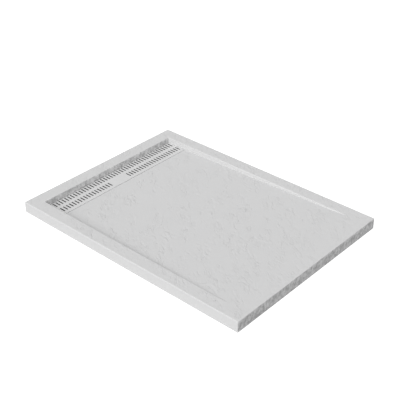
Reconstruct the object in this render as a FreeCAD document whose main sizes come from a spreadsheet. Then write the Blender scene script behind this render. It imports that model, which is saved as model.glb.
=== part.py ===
import FreeCAD, Part
import math
import os

import Sketcher

# Low shower tray with a slotted drain cover across one short end.
# Frame: +Z up, +X along the long side towards the entry end, drain end at -X.
# The origin is the middle of the flat underside. All sizes are in millimetres.

SIZES = [
    ("tray_length", 1200.0, "slab, along X"),
    ("tray_width", 900.0, "slab, along Y"),
    ("tray_height", 50.0, "slab, underside to rim top"),
    ("corner_round", 3.0, "upright outer corners of the slab"),
    ("edge_round", 2.0, "outer edge of the rim top"),
    ("rim_side", 60.0, "rim along each long side"),
    ("rim_end", 63.0, "rim at the drain end"),
    ("landing", 100.0, "flat top at the entry end, where the floor runs out"),
    ("recess_corner", 4.0, "upright corners of the recess at the drain end"),
    ("recess_round", 1.5, "inner edge of the rim top"),
    ("wall_draft", 8.0, "lean of the recess walls, in degrees"),
    ("grate_depth", 25.0, "rim top down to the cover's top"),
    ("entry_depth", 6.5, "rim top down to the foot of the entry ramp"),
    ("entry_run", 100.0, "length of the entry ramp"),
    ("entry_blend", 900.0, "radius where the floor turns up into the ramp"),
    ("cover_width", 104.5, "cover, along X"),
    ("cover_height", 5.0, "cover, with its folded edges"),
    ("cover_sheet", 2.0, "thickness of the cover's sheet"),
    ("cover_bend", 1.2, "outer bend of the folded edges"),
    ("cover_gap", 0.4, "clearance round the cover's foot"),
    ("slot_length", 31.0, "slot, along X"),
    ("slot_width", 5.0, "slot, along Y"),
    ("slot_clip", 1.5, "corners clipped off a slot's ends"),
    ("slot_pitch", 16.57, "slot to slot, along Y"),
    ("slot_border", 4.5, "cover's back edge to the first slot row"),
    ("slot_margin", 8.0, "least bare strip at each end of a slot row"),
    ("row_gap", 19.0, "bare strip between the two slot rows"),
    ("blank_slots", 6.0, "slots left out for the bare patch in the front row"),
    ("blank_shift", 1.0, "slots by which the patch lies towards the -Y side"),
    ("spine_width", 12.0, "flat bar under the cover, along X"),
    ("pad_thickness", 1.0, "rubber pads under the cover"),
    ("pad_length", 24.0, "edge pads, along the edge"),
    ("spine_pad_width", 9.0, "pads under the spine, along X"),
    ("spine_pad_length", 10.0, "pads under the spine, along Y"),
    ("ledge_width", 5.0, "ledge that carries the cover"),
    ("channel_depth", 3.5, "ledge down to the channel floor at its ends"),
    ("channel_fall", 2.5, "fall of the channel floor towards the waste"),
    ("channel_corner", 6.0, "upright corners of the channel"),
    ("boss_radius", 7.0, "bosses in the channel that carry the spine"),
    ("boss_pitch", 130.0, "boss to boss, along Y"),
    ("hole_radius", 30.0, "waste hole through the slab"),
    ("flange_radius", 43.0, "waste flange"),
    ("flange_thickness", 1.5, "waste flange"),
    ("flange_gap", 0.8, "clearance round the flange in its seat"),
    ("gasket_thickness", 1.0, "gasket under the flange"),
    ("gasket_gap", 1.0, "clearance between a gasket and the spigot"),
    ("spigot_radius", 28.0, "outlet spigot, outside"),
    ("outlet_radius", 25.0, "outlet spigot, bore"),
    ("strainer_radius", 26.0, "strainer, outside"),
    ("strainer_height", 3.0, "strainer's pressed rim"),
    ("strainer_sheet", 1.2, "thickness of the strainer's sheet"),
    ("strainer_gap", 0.3, "clearance round the strainer"),
    ("strainer_slot", 2.4, "width of a slot in the strainer"),
    ("long_slot_start", 8.5, "long strainer slots, from this radius"),
    ("short_slot_start", 15.5, "short strainer slots, from this radius"),
    ("slots_end", 21.5, "all strainer slots, to this radius"),
    ("strainer_spokes", 12.0, "long slots in the strainer, and short ones between"),
    ("knob_radius", 5.0, "strainer knob's cap"),
    ("knob_stem", 2.5, "strainer knob's stem"),
    ("knob_height", 6.0, "strainer knob, above the sheet"),
    ("knob_cap", 2.5, "height of the knob's cap"),
    ("knob_bevel", 1.0, "bevel on the cap's upper edge"),
    ("nut_radius", 44.0, "ring nut"),
    ("nut_thickness", 3.5, "ring nut"),
    ("nut_recess", 0.3, "underside up to the ring nut"),
    ("thread_gap", 0.05, "clearance between nut and spigot, and knob and strainer"),
    ("notch_width", 8.0, "wrench notches in the nut's edge"),
    ("notch_depth", 4.0, "wrench notches in the nut's edge"),
    ("notch_count", 4.0, "wrench notches in the nut's edge"),
    ("lower_gasket", 1.2, "gasket above the ring nut"),
    ("rebate_gap", 8.0, "room for a wrench round the nut in its rebate"),
]

CLOSE = 0.01  # an edge this near to a height lies at it
NEAR = 1.0  # room left round a place when edges are picked by it

doc = FreeCAD.newDocument("ShowerTray")
sheet = doc.addObject("Spreadsheet::Sheet", "Sizes")
for row, (alias, value, note) in enumerate(SIZES, start=1):
    sheet.set(f"A{row}", note)
    sheet.set(f"B{row}", str(value))
    sheet.setAlias(f"B{row}", alias)
doc.recompute()


def of(text):
    """An expression on the sheet's cells, from a formula in their plain names."""
    words = []
    for word in text.replace("(", "( ").replace(")", " )").split():
        known = any(word == alias for alias, _, _ in SIZES)
        words.append(f"Sizes.{word}" if known else word)
    return "(" + " ".join(words) + ")"


# Heights, from the rim top down to the web round the waste hole
COVER_TOP = of("tray_height - grate_depth")
COVER_FOOT = f"({COVER_TOP} - {of('cover_height')})"
LEDGE = f"({COVER_FOOT} - {of('pad_thickness')})"
CHANNEL_END = f"({LEDGE} - {of('channel_depth')})"
CHANNEL_LOW = f"({CHANNEL_END} - {of('channel_fall')})"
FLANGE_FOOT = f"({CHANNEL_LOW} - {of('flange_thickness')})"
FLANGE_SEAT = f"({FLANGE_FOOT} - {of('gasket_thickness')})"
STRAINER_SEAT = f"({CHANNEL_LOW} - {of('strainer_height')})"

# Heights, from the underside up to the same web
NUT_FOOT = of("nut_recess")
NUT_TOP = f"({NUT_FOOT} + {of('nut_thickness')})"
WEB_FOOT = f"({NUT_TOP} + {of('lower_gasket')})"

# Places along X: recess wall foot, cover, slot rows, channel and waste
DRAFT = "tan(Sizes.wall_draft * 1 deg)"
RECESS_DEPTH = f"({of('tray_height')} - {LEDGE})"
WALL_RUN = f"({RECESS_DEPTH} * {DRAFT})"
RECESS_BACK = of("rim_end - tray_length / 2")
RECESS_FRONT = of("tray_length / 2 - landing")
COVER_BACK = f"({RECESS_BACK} + {WALL_RUN} + {of('cover_gap')})"
COVER_FRONT = f"({COVER_BACK} + {of('cover_width')})"
SEAT_FRONT = f"({COVER_FRONT} + {of('cover_gap')})"
SEAT_LIP = f"({SEAT_FRONT} + ({COVER_TOP} - {LEDGE}) * {DRAFT})"
CHANNEL_BACK = f"({RECESS_BACK} + {WALL_RUN} + {of('ledge_width')})"
CHANNEL_FRONT = f"({SEAT_FRONT} - {of('ledge_width')})"
WASTE_X = f"(({CHANNEL_BACK} + {CHANNEL_FRONT}) / 2)"
BACK_ROW = of("slot_border + slot_length / 2")
FRONT_ROW = f"({BACK_ROW} + {of('slot_length + row_gap')})"
SPINE_X = f"({COVER_BACK} + ({BACK_ROW} + {FRONT_ROW}) / 2)"

# Half widths along Y
RECESS_HALF = of("tray_width / 2 - rim_side")
COVER_HALF = f"({RECESS_HALF} - {WALL_RUN} - {of('cover_gap')})"
CHANNEL_HALF = f"({RECESS_HALF} - {WALL_RUN} - {of('ledge_width')})"
SEAT_RADIUS = of("flange_radius + flange_gap")

# Slots in a full row, and in the two parts of the front row
SLOTS = f"(floor((2 * {COVER_HALF} - 2 * {of('slot_margin')} - {of('slot_width')}) / {of('slot_pitch')}) + 1)"
FIRST_SLOT = f"(-({SLOTS} - 1) / 2 * {of('slot_pitch')})"
SLOTS_BEFORE = f"(floor(({SLOTS} - {of('blank_slots')}) / 2) - {of('blank_shift')})"
SLOTS_AFTER = f"({SLOTS} - {of('blank_slots')} - {SLOTS_BEFORE})"
SLOT_AFTER = f"({FIRST_SLOT} + ({SLOTS_BEFORE} + {of('blank_slots')}) * {of('slot_pitch')})"

# Stations of the bosses and pads along Y, and how many fit on each side of the waste
STATIONS = f"(floor(({CHANNEL_HALF} - {of('boss_radius + boss_pitch / 2')}) / {of('boss_pitch')}) + 1)"
LAST_STATION = f"(({STATIONS} - 1 / 2) * {of('boss_pitch')})"


def number(expression):
    """The value of an expression now, as a plain number."""
    return float(sheet.evalExpression(expression))


def new_body(label):
    body = doc.addObject("PartDesign::Body", label)
    body.Label = label
    return body


def origin_feature(body, role):
    return next(item for item in body.Origin.OriginFeatures if item.Role == role)


def new_sketch(body, name, role="XY_Plane", centre=("0", "0"), height="0"):
    """A sketch on an origin plane of its body, moved along the plane and off it."""
    sketch = body.newObject("Sketcher::SketchObject", name)
    sketch.AttachmentSupport = [(origin_feature(body, role), "")]
    sketch.MapMode = "FlatFace"
    for axis, expression in zip("xyz", (*centre, height)):
        sketch.setExpression(f"AttachmentOffset.Base.{axis}", expression)
    return sketch


def bind(sketch, kind, where, expression, name):
    """A constraint of the sketch whose value is an expression."""
    index = sketch.addConstraint(Sketcher.Constraint(kind, *where, number(expression)))
    sketch.renameConstraint(index, name)
    sketch.setExpression(f"Constraints.{name}", expression)


def add_polygon(sketch, points, name="corner"):
    """A closed outline through points that are pairs of expressions."""
    values = [FreeCAD.Vector(number(x), number(y), 0) for x, y in points]
    count = len(points)
    first = sketch.GeometryCount
    for i in range(count):
        sketch.addGeometry(Part.LineSegment(values[i], values[(i + 1) % count]), False)
    for i in range(count):
        following = first + (i + 1) % count
        sketch.addConstraint(Sketcher.Constraint("Coincident", first + i, 2, following, 1))
    for i, (x, y) in enumerate(points):
        bind(sketch, "DistanceX", (-1, 1, first + i, 1), x, f"{name}{first + i}_x")
        bind(sketch, "DistanceY", (-1, 1, first + i, 1), y, f"{name}{first + i}_y")


def add_rectangle(sketch, left, right, low, high, name="side"):
    """A rectangle with two corners placed by expressions."""
    x = [number(left), number(right)]
    y = [number(low), number(high)]
    corners = [(x[0], y[0]), (x[1], y[0]), (x[1], y[1]), (x[0], y[1])]
    values = [FreeCAD.Vector(a, b, 0) for a, b in corners]
    first = sketch.GeometryCount
    for i in range(4):
        sketch.addGeometry(Part.LineSegment(values[i], values[(i + 1) % 4]), False)
    for i in range(4):
        sketch.addConstraint(Sketcher.Constraint("Coincident", first + i, 2, first + (i + 1) % 4, 1))
        direction = "Horizontal" if i % 2 == 0 else "Vertical"
        sketch.addConstraint(Sketcher.Constraint(direction, first + i))
    bind(sketch, "DistanceX", (-1, 1, first, 1), left, f"{name}{first}_left")
    bind(sketch, "DistanceY", (-1, 1, first, 1), low, f"{name}{first}_low")
    bind(sketch, "DistanceX", (-1, 1, first + 2, 1), right, f"{name}{first}_right")
    bind(sketch, "DistanceY", (-1, 1, first + 2, 1), high, f"{name}{first}_high")


def add_circle(sketch, radius, x=None, y=None, name="circle"):
    """A circle at the sketch's origin, or at a place given by two expressions."""
    centre = FreeCAD.Vector(number(x) if x else 0, number(y) if y else 0, 0)
    circle = Part.Circle(centre, FreeCAD.Vector(0, 0, 1), number(radius))
    index = sketch.addGeometry(circle, False)
    if x is None:
        sketch.addConstraint(Sketcher.Constraint("Coincident", index, 3, -1, 1))
    else:
        bind(sketch, "DistanceX", (-1, 1, index, 3), x, f"{name}{index}_x")
        bind(sketch, "DistanceY", (-1, 1, index, 3), y, f"{name}{index}_y")
    bind(sketch, "Radius", (index,), radius, f"{name}{index}_radius")


def add_slot(sketch, length, width, clip):
    """A slot along X with its ends' corners clipped off, centred on the sketch's origin."""
    end = f"({length} / 2)"
    side = f"({width} / 2)"
    shoulder = f"({end} - {clip})"
    cheek = f"({side} - {clip})"
    quarter = [(end, cheek), (shoulder, side)]
    points = quarter + [(f"(-{x})", y) for x, y in reversed(quarter)]
    points += [(f"(-{x})", f"(-{y})") for x, y in quarter]
    points += [(x, f"(-{y})") for x, y in reversed(quarter)]
    add_polygon(sketch, points)


def swept(body, kind, name, sketch, length=None, both_ways=False, backwards=False, taper=None):
    """A Pad or Pocket of a sketch; with no length it runs through all."""
    feature = body.newObject(f"PartDesign::{kind}", name)
    feature.Profile = sketch
    if length is None:
        feature.Type = "ThroughAll"
    else:
        feature.setExpression("Length", length)
    feature.SideType = "Symmetric" if both_ways else "One side"
    feature.Reversed = backwards
    if taper is not None:
        feature.setExpression("TaperAngle", taper)
    return feature


def turned(body, kind, name, sketch):
    """A Revolution or Groove of a sketch about its own upright axis."""
    feature = body.newObject(f"PartDesign::{kind}", name)
    feature.Profile = sketch
    feature.ReferenceAxis = (sketch, ["V_Axis"])
    feature.Angle = 360
    return feature


def repeat_along(body, name, features, length, count):
    """Copies of features along the body's Y axis; length is first to last."""
    pattern = body.newObject("PartDesign::LinearPattern", name)
    pattern.Originals = features
    pattern.Direction = (origin_feature(body, "Y_Axis"), [""])
    pattern.setExpression("Length", length)
    pattern.setExpression("Occurrences", count)
    body.Tip = pattern
    return pattern


def repeat_round(body, name, features, sketch, count):
    """Copies of features about the upright axis through a sketch's origin."""
    pattern = body.newObject("PartDesign::PolarPattern", name)
    pattern.Originals = features
    pattern.Axis = (sketch, ["N_Axis"])
    pattern.Angle = 360
    pattern.setExpression("Occurrences", count)
    body.Tip = pattern
    return pattern


def rounded(body, name, base, radius, chosen):
    """A Fillet on the edges of a feature for which chosen(edge) holds."""
    doc.recompute()
    names = [f"Edge{i}" for i, edge in enumerate(base.Shape.Edges, start=1) if chosen(edge)]
    fillet = body.newObject("PartDesign::Fillet", name)
    fillet.Base = (base, names)
    fillet.setExpression("Radius", radius)
    return fillet


def is_level(edge, height):
    box = edge.BoundBox
    return abs(box.ZMin - height) < CLOSE and abs(box.ZMax - height) < CLOSE


def rises(edge, low, high):
    box = edge.BoundBox
    return abs(box.ZMin - low) < CLOSE and abs(box.ZMax - high) < CLOSE


def stand(item, x="0", y="0", z="0"):
    """The sub-part's place in the tray's frame."""
    for axis, expression in zip("xyz", (x, y, z)):
        item.setExpression(f"Placement.Base.{axis}", expression)


def add_ramp(sketch):
    """Outline of the floor in the XZ plane, from the cover's seat to the entry end.

    The long fall and the short ramp are two lines, and one arc joins them.
    """
    low = f"({LEDGE} / 2)"
    foot_x = f"({RECESS_FRONT} - {of('entry_run')})"
    foot_z = of("tray_height - entry_depth")
    end_x = f"({RECESS_FRONT} + {of('recess_round')})"
    top = of("tray_height")
    radius = number(of("entry_blend"))

    start = FreeCAD.Vector(number(SEAT_LIP), number(COVER_TOP), 0)
    knee = FreeCAD.Vector(number(foot_x), number(foot_z), 0)
    crest = FreeCAD.Vector(number(RECESS_FRONT), number(top), 0)
    fall = (knee - start).normalize()
    climb = (crest - knee).normalize()
    turn = fall.getAngle(climb)
    tangent = radius * math.tan(turn / 2)
    blend_start = knee - fall * tangent
    blend_end = knee + climb * tangent
    centre = blend_start + FreeCAD.Vector(-fall.y, fall.x, 0) * radius
    from_angle = math.atan2(blend_start.y - centre.y, blend_start.x - centre.x)
    arc = Part.Circle(centre, FreeCAD.Vector(0, 0, 1), radius)

    outline = [crest]
    outline.append(FreeCAD.Vector(number(end_x), number(top), 0))
    outline.append(FreeCAD.Vector(number(end_x), number(low), 0))
    outline.append(FreeCAD.Vector(number(SEAT_FRONT), number(low), 0))
    outline.append(FreeCAD.Vector(number(SEAT_FRONT), number(LEDGE), 0))
    outline.append(start)

    sketch.addGeometry(Part.LineSegment(start, blend_start), False)
    sketch.addGeometry(Part.ArcOfCircle(arc, from_angle, from_angle + turn), False)
    sketch.addGeometry(Part.LineSegment(blend_end, crest), False)
    for a, b in zip(outline, outline[1:]):
        sketch.addGeometry(Part.LineSegment(a, b), False)
    sketch.addGeometry(Part.Point(knee), True)

    last = 2 + len(outline) - 1
    sketch.addConstraint(Sketcher.Constraint("Tangent", 0, 2, 1, 1))
    sketch.addConstraint(Sketcher.Constraint("Tangent", 1, 2, 2, 1))
    for i in range(2, last):
        sketch.addConstraint(Sketcher.Constraint("Coincident", i, 2, i + 1, 1))
    sketch.addConstraint(Sketcher.Constraint("Coincident", last, 2, 0, 1))
    sketch.addConstraint(Sketcher.Constraint("PointOnObject", last + 1, 1, 0))
    sketch.addConstraint(Sketcher.Constraint("PointOnObject", last + 1, 1, 2))

    places = [
        (3, 1, RECESS_FRONT, top, "crest"),
        (4, 1, end_x, top, "end_top"),
        (5, 1, end_x, low, "end_foot"),
        (6, 1, SEAT_FRONT, low, "seat_root"),
        (7, 1, SEAT_FRONT, LEDGE, "seat_foot"),
        (0, 1, SEAT_LIP, COVER_TOP, "seat_lip"),
        (last + 1, 1, foot_x, foot_z, "knee"),
    ]
    for item, point, x, z, name in places:
        bind(sketch, "DistanceX", (-1, 1, item, point), x, f"{name}_x")
        bind(sketch, "DistanceY", (-1, 1, item, point), z, f"{name}_z")
    bind(sketch, "Radius", (1,), of("entry_blend"), "blend_radius")


def make_tray_body():
    """Cast slab: rims, drafted recess, falling floor, cover seat, channel and waste hole."""
    body = new_body("tray_body")
    height = number(of("tray_height"))

    outline = new_sketch(body, "slab_outline")
    half_length = of("tray_length / 2")
    half_width = of("tray_width / 2")
    add_rectangle(outline, f"(-{half_length})", half_length, f"(-{half_width})", half_width)
    slab = swept(body, "Pad", "slab", outline, of("tray_height"))
    corners = rounded(body, "slab_corners", slab, of("corner_round"), lambda e: rises(e, 0, height))
    rounded(body, "slab_edges", corners, of("edge_round"), lambda e: is_level(e, height))

    mouth = new_sketch(body, "recess_mouth", height=of("tray_height"))
    add_rectangle(mouth, RECESS_BACK, RECESS_FRONT, f"(-{RECESS_HALF})", RECESS_HALF)
    recess = swept(body, "Pocket", "recess", mouth, RECESS_DEPTH, taper=of("- wall_draft"))
    doc.recompute()

    ledge = number(LEDGE)
    back = number(RECESS_BACK)

    def at_drain_corner(edge):
        near_back = edge.BoundBox.XMax < back + number(WALL_RUN) + NEAR
        return near_back and edge.BoundBox.XMin > back - NEAR and rises(edge, ledge, height)

    corner = rounded(body, "recess_corners", recess, of("recess_corner"), at_drain_corner)
    doc.recompute()

    def on_mouth(edge):
        box = edge.BoundBox
        inside = max(abs(box.YMin), abs(box.YMax)) < number(RECESS_HALF) + NEAR
        short_of_entry = box.XMin < number(RECESS_FRONT) - NEAR
        return is_level(edge, height) and inside and short_of_entry and box.XMin > back - NEAR

    rounded(body, "recess_edges", corner, of("recess_round"), on_mouth)

    floor = new_sketch(body, "floor_profile", "XZ_Plane")
    add_ramp(floor)
    floor_width = f"(2 * ({RECESS_HALF} + {of('recess_round')}))"
    swept(body, "Pad", "floor", floor, floor_width, both_ways=True)

    channel = new_sketch(body, "channel_profile", "YZ_Plane", height=WASTE_X)
    channel_points = [
        (f"(-{CHANNEL_HALF})", COVER_FOOT),
        (f"(-{CHANNEL_HALF})", CHANNEL_END),
        (f"(-{SEAT_RADIUS})", CHANNEL_LOW),
        (SEAT_RADIUS, CHANNEL_LOW),
        (CHANNEL_HALF, CHANNEL_END),
        (CHANNEL_HALF, COVER_FOOT),
    ]
    add_polygon(channel, channel_points)
    channel_width = f"({CHANNEL_FRONT} - {CHANNEL_BACK})"
    trough = swept(body, "Pocket", "channel", channel, channel_width, both_ways=True)

    end_floor = number(CHANNEL_END)
    trough = rounded(
        body, "channel_corners", trough, of("channel_corner"), lambda e: rises(e, end_floor, ledge)
    )

    boss = new_sketch(body, "boss_outline", centre=(SPINE_X, f"(-{LAST_STATION})"), height=LEDGE)
    add_circle(boss, of("boss_radius"))
    boss_height = f"({LEDGE} - {FLANGE_SEAT})"
    post = swept(body, "Pad", "boss", boss, boss_height, backwards=True)
    repeat_along(body, "bosses", [post], f"(2 * {LAST_STATION})", f"(2 * {STATIONS})")

    seat = new_sketch(body, "flange_seat_outline", centre=(WASTE_X, "0"), height=CHANNEL_LOW)
    add_circle(seat, SEAT_RADIUS)
    swept(body, "Pocket", "flange_seat", seat, f"({CHANNEL_LOW} - {FLANGE_SEAT})")
    rebate = new_sketch(body, "rebate_outline", centre=(WASTE_X, "0"))
    add_circle(rebate, of("nut_radius + rebate_gap"))
    swept(body, "Pocket", "rebate", rebate, WEB_FOOT, backwards=True)
    hole = new_sketch(body, "waste_hole_outline", centre=(WASTE_X, "0"), height=CHANNEL_LOW)
    add_circle(hole, of("hole_radius"))
    swept(body, "Pocket", "waste_hole", hole)
    return body


def make_grate_cover():
    """Folded sheet cover with two rows of slots; local origin at its back edge's middle, at its foot."""
    body = new_body("grate_cover")
    top = number(of("cover_height"))

    outline = new_sketch(body, "cover_outline")
    add_rectangle(outline, "0", of("cover_width"), f"(-{COVER_HALF})", COVER_HALF)
    blank = swept(body, "Pad", "cover_blank", outline, of("cover_height"))
    corners = rounded(body, "cover_corners", blank, of("recess_corner"), lambda e: rises(e, 0, top))
    rounded(body, "cover_bends", corners, of("cover_bend"), lambda e: is_level(e, top))

    inside = new_sketch(body, "cover_inside")
    wall = of("cover_sheet")
    half = f"({COVER_HALF} - {wall})"
    add_rectangle(inside, wall, of("cover_width - cover_sheet"), f"(-{half})", half)
    swept(body, "Pocket", "cover_hollow", inside, of("cover_height - cover_sheet"), backwards=True)

    rows = [
        ("back", BACK_ROW, FIRST_SLOT, SLOTS),
        ("front_left", FRONT_ROW, FIRST_SLOT, SLOTS_BEFORE),
        ("front_right", FRONT_ROW, SLOT_AFTER, SLOTS_AFTER),
    ]
    for name, x, y, count in rows:
        slot = new_sketch(body, f"{name}_slot_outline", centre=(x, y), height=of("cover_height"))
        add_slot(slot, of("slot_length"), of("slot_width"), of("slot_clip"))
        cut = swept(body, "Pocket", f"{name}_slot", slot, of("cover_height"))
        repeat_along(body, f"{name}_slots", [cut], f"(({count} - 1) * {of('slot_pitch')})", count)
    stand(body, COVER_BACK, "0", COVER_FOOT)
    return body


def make_grate_spine():
    """Flat bar under the bare strip between the slot rows, from folded edge to folded edge."""
    bar = doc.addObject("Part::Box", "grate_spine")
    bar.Label = "grate_spine"
    half = f"({COVER_HALF} - {of('cover_sheet')})"
    bar.setExpression("Length", of("spine_width"))
    bar.setExpression("Width", f"(2 * {half})")
    bar.setExpression("Height", of("cover_height - cover_sheet"))
    stand(bar, f"({SPINE_X} - {of('spine_width / 2')})", f"(-{half})", COVER_FOOT)
    return bar


def station_places():
    """The bosses' places along Y, as expressions."""
    count = 2 * int(number(STATIONS))
    return [f"(-{LAST_STATION} + {i} * {of('boss_pitch')})" for i in range(count)]


def make_grate_edge_pads():
    """Rubber pads under the folded edges: a pair at each boss, and one in the middle of each end."""
    body = new_body("grate_edge_pads")
    outline = new_sketch(body, "edge_pad_outlines")
    depth = of("ledge_width - cover_gap")
    reach = of("pad_length / 2")
    width = of("cover_width")
    for y in station_places():
        add_rectangle(outline, "0", depth, f"({y} - {reach})", f"({y} + {reach})")
        add_rectangle(outline, f"({width} - {depth})", width, f"({y} - {reach})", f"({y} + {reach})")
    left = f"({width} / 2 - {reach})"
    right = f"({width} / 2 + {reach})"
    add_rectangle(outline, left, right, f"({depth} - {COVER_HALF})", f"(-{COVER_HALF})")
    add_rectangle(outline, left, right, f"({COVER_HALF} - {depth})", COVER_HALF)
    swept(body, "Pad", "edge_pads", outline, of("pad_thickness"))
    stand(body, COVER_BACK, "0", LEDGE)
    return body


def make_grate_spine_pads():
    """Rubber pads under the spine, one on each boss."""
    body = new_body("grate_spine_pads")
    outline = new_sketch(body, "spine_pad_outlines")
    side = of("spine_pad_width / 2")
    reach = of("spine_pad_length / 2")
    for y in station_places():
        add_rectangle(outline, f"(-{side})", side, f"({y} - {reach})", f"({y} + {reach})")
    swept(body, "Pad", "spine_pads", outline, of("pad_thickness"))
    stand(body, SPINE_X, "0", LEDGE)
    return body


def make_waste_flange():
    """Turned flange with a pocket for the strainer and an outlet spigot."""
    body = new_body("waste_flange")
    profile = new_sketch(body, "flange_profile", "XZ_Plane")
    pocket = of("strainer_radius + strainer_gap")
    foot = f"({NUT_FOOT} - {CHANNEL_LOW})"
    step = of("- strainer_height")
    under = of("- flange_thickness")
    points = [
        (pocket, "0"),
        (of("flange_radius"), "0"),
        (of("flange_radius"), under),
        (of("spigot_radius"), under),
        (of("spigot_radius"), foot),
        (of("outlet_radius"), foot),
        (of("outlet_radius"), step),
        (pocket, step),
    ]
    add_polygon(profile, points)
    turned(body, "Revolution", "flange_ring", profile)
    stand(body, WASTE_X, "0", CHANNEL_LOW)
    return body


def make_gasket(label, outer, thickness, z):
    """A flat rubber ring round the spigot."""
    body = new_body(label)
    outline = new_sketch(body, f"{label}_outline")
    add_circle(outline, outer)
    add_circle(outline, of("spigot_radius + gasket_gap"))
    swept(body, "Pad", f"{label}_ring", outline, thickness)
    stand(body, WASTE_X, "0", z)
    return body


def make_ring_nut():
    """Flat nut on the spigot, with notches in its edge for a wrench."""
    body = new_body("ring_nut")
    outline = new_sketch(body, "nut_outline")
    add_circle(outline, of("nut_radius"))
    add_circle(outline, of("spigot_radius + thread_gap"))
    swept(body, "Pad", "nut_ring", outline, of("nut_thickness"))
    notch = new_sketch(body, "notch_outline", height=of("nut_thickness"))
    side = of("notch_width / 2")
    beyond = of("nut_radius + notch_depth")
    add_rectangle(notch, of("nut_radius - notch_depth"), beyond, f"(-{side})", side)
    cut = swept(body, "Pocket", "notch", notch, of("nut_thickness"))
    repeat_round(body, "notches", [cut], notch, of("notch_count"))
    stand(body, WASTE_X, "0", NUT_FOOT)
    return body


def make_strainer_plate():
    """Pressed cup with two rings of radial slots, sunk in the flange's pocket."""
    body = new_body("strainer_plate")
    profile = new_sketch(body, "strainer_profile", "XZ_Plane")
    wall = of("strainer_radius - strainer_sheet")
    bore = of("knob_stem + thread_gap")
    points = [
        (bore, "0"),
        (of("strainer_radius"), "0"),
        (of("strainer_radius"), of("strainer_height")),
        (wall, of("strainer_height")),
        (wall, of("strainer_sheet")),
        (bore, of("strainer_sheet")),
    ]
    add_polygon(profile, points)
    turned(body, "Revolution", "strainer_cup", profile)

    half_pitch = "(180 deg / Sizes.strainer_spokes)"
    side = of("strainer_slot / 2")
    rows = [("long", of("long_slot_start"), "0 deg"), ("short", of("short_slot_start"), half_pitch)]
    for name, start, angle in rows:
        slot = new_sketch(body, f"{name}_slot_outline", height=of("strainer_sheet"))
        slot.setExpression("AttachmentOffset.Rotation.Angle", angle)
        add_rectangle(slot, start, of("slots_end"), f"(-{side})", side)
        cut = swept(body, "Pocket", f"{name}_slot", slot, of("strainer_sheet"))
        repeat_round(body, f"{name}_slots", [cut], slot, of("strainer_spokes"))
    stand(body, WASTE_X, "0", STRAINER_SEAT)
    return body


def make_strainer_knob():
    """Turned knob whose stem is riveted in the middle of the strainer."""
    body = new_body("strainer_knob")
    profile = new_sketch(body, "knob_profile", "XZ_Plane")
    top = of("strainer_sheet + knob_height")
    under_cap = of("strainer_sheet + knob_height - knob_cap")
    points = [
        ("0", "0"),
        (of("knob_stem"), "0"),
        (of("knob_stem"), under_cap),
        (of("knob_radius"), under_cap),
        (of("knob_radius"), of("strainer_sheet + knob_height - knob_bevel")),
        (of("knob_radius - knob_bevel"), top),
        ("0", top),
    ]
    add_polygon(profile, points)
    turned(body, "Revolution", "knob", profile)
    stand(body, WASTE_X, "0", STRAINER_SEAT)
    return body


parts = [
    make_tray_body(),
    make_grate_cover(),
    make_grate_spine(),
    make_grate_edge_pads(),
    make_grate_spine_pads(),
    make_waste_flange(),
    make_gasket("flange_gasket", of("flange_radius"), of("gasket_thickness"), FLANGE_SEAT),
    make_gasket("lower_gasket", of("nut_radius"), of("lower_gasket"), NUT_TOP),
    make_ring_nut(),
    make_strainer_plate(),
    make_strainer_knob(),
]
doc.recompute()

for item in doc.Objects:
    if "Invalid" in item.State or "Error" in item.State:
        raise RuntimeError(f"{item.Name} failed: {item.State}")
for item in parts:
    if item.Shape.isNull() or not item.Shape.isValid():
        raise RuntimeError(f"{item.Label} has no valid shape")

os.makedirs("parts", exist_ok=True)
for item in parts:
    item.Shape.exportStep(f"parts/{item.Label}.step")
    box = item.Shape.BoundBox
    low = f"{box.XMin:.2f} {box.YMin:.2f} {box.ZMin:.2f}"
    high = f"{box.XMax:.2f} {box.YMax:.2f} {box.ZMax:.2f}"
    print(f"{item.Label}: {len(item.Shape.Solids)} solids, {item.Shape.Volume:.0f} mm3, {low} to {high}")
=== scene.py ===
"""Looks of a low shower tray: slate-textured slab, slotted drain cover and waste.

Settings and meshes are in metres; the lengths that the code works with are in millimetres. All are
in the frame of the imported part: +Z up, +X along the long side to the entry end, drain end at -X.
"""

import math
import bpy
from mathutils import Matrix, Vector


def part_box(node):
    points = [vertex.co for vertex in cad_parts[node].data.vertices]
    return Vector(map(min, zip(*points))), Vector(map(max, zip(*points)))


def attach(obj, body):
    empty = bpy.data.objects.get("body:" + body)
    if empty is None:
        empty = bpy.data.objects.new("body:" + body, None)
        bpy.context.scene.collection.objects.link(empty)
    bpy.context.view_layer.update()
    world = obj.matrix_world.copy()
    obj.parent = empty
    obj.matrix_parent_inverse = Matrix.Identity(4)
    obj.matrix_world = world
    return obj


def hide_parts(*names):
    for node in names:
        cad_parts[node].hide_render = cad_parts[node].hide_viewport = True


bl_info = {
    "name": "Slate shower tray",
    "version": (1, 0, 0),
    "blender": (4, 5, 0),
    "location": "3D View > Sidebar > Shower tray",
    "description": "Dresses the packed shower tray: slate relief, drain cover, waste and studio",
    "category": "Object",
}

from types import SimpleNamespace

import bmesh
import bpy
from bpy.props import FloatProperty, FloatVectorProperty, IntProperty, PointerProperty
from mathutils import Vector
from mathutils.bvhtree import BVHTree

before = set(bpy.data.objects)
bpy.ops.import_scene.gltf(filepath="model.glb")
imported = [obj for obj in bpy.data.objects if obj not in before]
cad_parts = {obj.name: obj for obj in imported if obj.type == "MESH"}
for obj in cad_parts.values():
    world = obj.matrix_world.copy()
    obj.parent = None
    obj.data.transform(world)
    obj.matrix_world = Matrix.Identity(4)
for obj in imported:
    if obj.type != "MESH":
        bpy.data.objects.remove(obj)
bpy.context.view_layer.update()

MM = 0.001

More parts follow.
